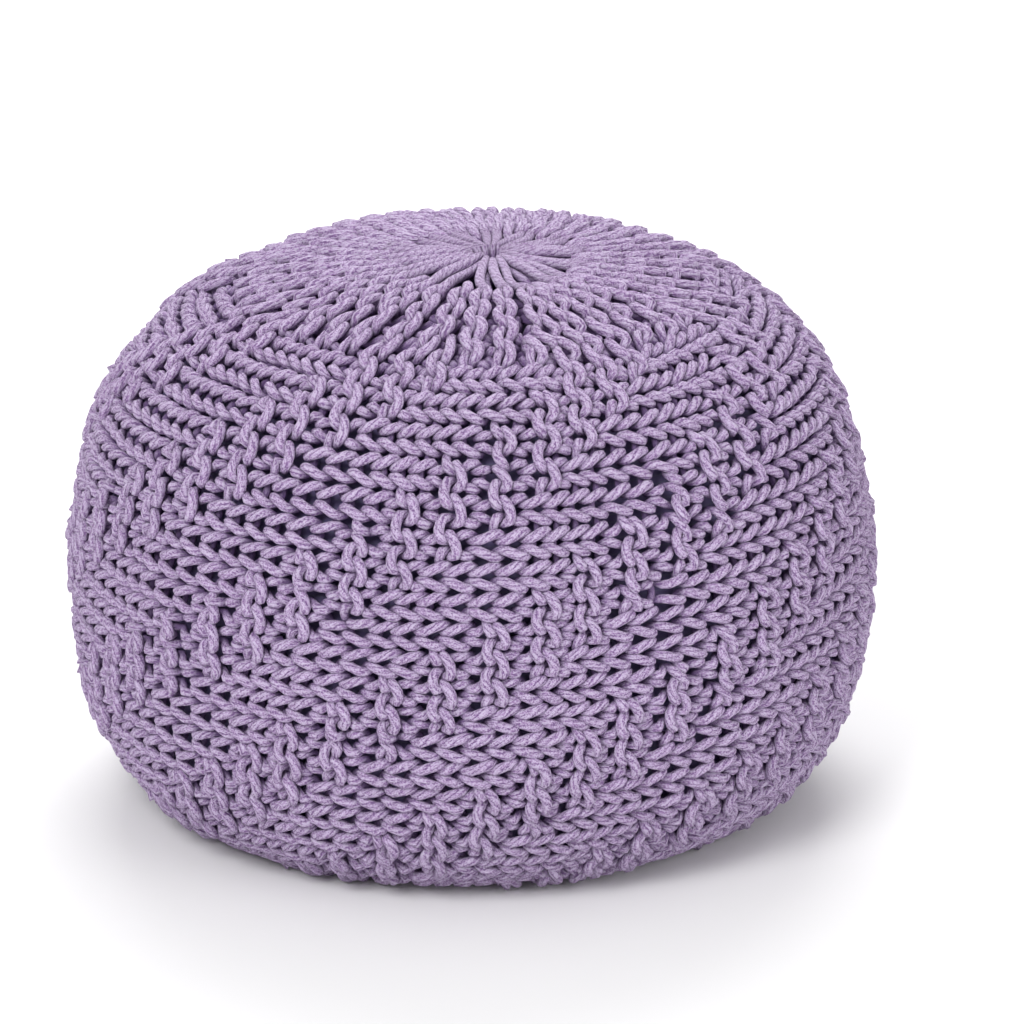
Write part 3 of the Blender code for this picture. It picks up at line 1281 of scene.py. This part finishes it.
    def _mark_depth(self, data: bpy.types.Mesh, lines: dict[int, Rows]) -> None:
        """Note on every vertex how deep it lies in the knitting, from 0 outside to 1 at the bag; the cord's
        finish paints shade from it.

        Args:
            data: The piece's mesh, whose last vertices are the cords' rings in order.
            lines: The paths of each of its rows.
        """
        parts = ("points", "outward", "height")
        points, outward, height = (np.concatenate([line[part] for line in lines.values()]) for part in parts)
        places = np.empty(3 * len(data.vertices))
        data.vertices.foreach_get("co", places)
        rings = places.reshape(-1, 3)[-self.sides * len(height) :].reshape(len(height), self.sides, 3)
        rise = ((rings - points[:, None, :]) * outward[:, None, :]).sum(axis=-1)
        share = np.clip(-(height[:, None] + rise) / self.marked_depth, 0.0, 1.0).reshape(-1)
        values = np.ones(len(data.vertices))
        values[-len(share) :] = share
        data.attributes.new(DEPTH_NAME, "FLOAT", "POINT").data.foreach_set("value", values)


# ---- The filled bag ----------------------------------------------


@dataclass
class FilledBag:
    """The filled cloth bag inside the cover, drawn in a little under both gathers.

    A wrinkle holds its name, its waves round the bag and its waves along the profile (radians in a metre).
    """

    form: PoufForm
    depth: float = 0.0142
    gather_depth: float = 0.012
    gather_radius: float = 0.120
    pole_gap: float = 0.004
    columns: int = 96
    rings: int = 60
    wrinkle_height: float = 0.0006
    wrinkles: tuple[tuple[str, int, int], ...] = (("fine", 23, 40), ("broad", 9, -90))

    def build(self, finish: bpy.types.Material) -> bpy.types.Object:
        """Make the bag from a grid sphere whose rings follow the cover's inner wall.

        Args:
            finish: The cloth's material.

        Returns:
            The bag.
        """
        mesh = bmesh.new()
        bmesh.ops.create_uvsphere(mesh, u_segments=self.columns, v_segments=self.rings, radius=1.0)
        places = np.array([vert.co[:] for vert in mesh.verts])
        share = np.arccos(np.clip(places[:, 2], -1, 1)) / math.pi
        angle = np.arctan2(places[:, 0], -places[:, 1])
        distance = self.pole_gap + share * (self.form.length - 2 * self.pole_gap)
        radius = self.form.radius(distance)
        drawn = np.clip(1 - radius / self.gather_radius, 0, 1)
        offset = -self.depth - self.gather_depth * (1 - (1 - drawn) ** 2)
        for _, around, down in self.wrinkles:
            offset += self.wrinkle_height * np.sin(around * angle + down * distance)
        moved = self.form.place(distance, angle, offset)
        for vert, place in zip(mesh.verts, moved):
            vert.co = Vector(place)
        bmesh.ops.recalc_face_normals(mesh, faces=mesh.faces)
        data = bpy.data.meshes.new("filled_bag")
        mesh.to_mesh(data)
        mesh.free()
        data.shade_smooth()
        data.materials.append(finish)
        piece = bpy.data.objects.new("filled_bag", data)
        bpy.context.scene.collection.objects.link(piece)
        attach(piece, "root")
        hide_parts(Node.BAG.value)
        LOG.info("filled_bag: %d faces", len(data.polygons))
        return piece


# ---- Studio ------------------------------------------------------


@dataclass(frozen=True)
class Panel:
    """One square soft light, in metres and watts."""

    name: str
    place: Point
    size: float
    power: float
    target: Point = (0.0, 0.0, 0.18)


@dataclass
class Studio:
    """Pale floor, soft light and the camera."""

    camera_place: Point = (0.0, -3.033, 1.194)
    aim: Point = (0.0253, 0.0, 0.1772)
    lens: float = 180.6
    sensor_width: float = 36.0
    far_end: float = 50.0
    floor_half: float = 6.0
    floor_parts: int = 8
    room_light: float = 0.65
    panels: tuple[Panel, ...] = (
        Panel("key_panel", (-1.1, -2.2, 2.1), 1.3, 64.0),
        Panel("fill_panel", (2.2, -1.8, 1.1), 1.6, 25.0),
        Panel("back_panel", (0.4, 2.0, 2.2), 1.6, 12.0),
        Panel("floor_panel", (0.0, 3.2, 3.0), 3.0, 150.0, (0.0, 2.0, 0.0)),
    )

    def build_floor(self) -> None:
        """Lay the floor."""
        mesh = bmesh.new()
        parts = self.floor_parts
        bmesh.ops.create_grid(mesh, x_segments=parts, y_segments=parts, size=self.floor_half)
        data = bpy.data.meshes.new("studio_floor")
        mesh.to_mesh(data)
        mesh.free()
        data.materials.append(StudioFloor().material())
        floor = bpy.data.objects.new("studio_floor", data)
        bpy.context.scene.collection.objects.link(floor)

    def _stand(self, name: str, data: bpy.types.ID, place: Point, target: Point) -> bpy.types.Object:
        """Stand a light or a camera somewhere and turn it to its target.

        Args:
            name: The object's name.
            data: The light or the camera.
            place: Its place.
            target: The place that it faces.

        Returns:
            The object.
        """
        stood = bpy.data.objects.new(name, data)
        stood.location = place
        stood.rotation_euler = (Vector(target) - Vector(place)).to_track_quat("-Z", "Y").to_euler()
        bpy.context.scene.collection.objects.link(stood)
        return stood

    def build_camera(self) -> None:
        """Stand the camera at the photograph's place."""
        data = bpy.data.cameras.new("photo_camera")
        data.lens = self.lens
        data.sensor_width = self.sensor_width
        data.clip_end = self.far_end
        bpy.context.scene.camera = self._stand("photo_camera", data, self.camera_place, self.aim)

    def build_light(self) -> None:
        """Hang the lights and set the room's even light."""
        world = bpy.data.worlds.new("studio_room")
        world.use_nodes = True
        background = world.node_tree.nodes["Background"]
        background.inputs["Color"].default_value = (1.0, 1.0, 1.0, 1.0)
        background.inputs["Strength"].default_value = self.room_light
        bpy.context.scene.world = world
        bpy.context.scene.view_settings.view_transform = "Standard"
        for panel in self.panels:
            data = bpy.data.lights.new(panel.name, "AREA")
            data.size = panel.size
            data.energy = panel.power
            self._stand(panel.name, data, panel.place, panel.target)

    def build(self) -> None:
        """Set the whole studio."""
        self.build_floor()
        self.build_camera()
        self.build_light()
        LOG.info("studio: floor, camera and %d soft lights", len(self.panels))


def main() -> None:
    """Build the pouf and its studio."""
    logging.basicConfig(level=logging.INFO, format="%(message)s")
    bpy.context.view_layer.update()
    form = PoufForm()
    KnitCover(StitchPattern(form)).build(CottonCord().material())
    FilledBag(form).build(BagCloth().material())
    Studio().build()
    bpy.context.view_layer.update()


if __name__ == "__main__":
    main()
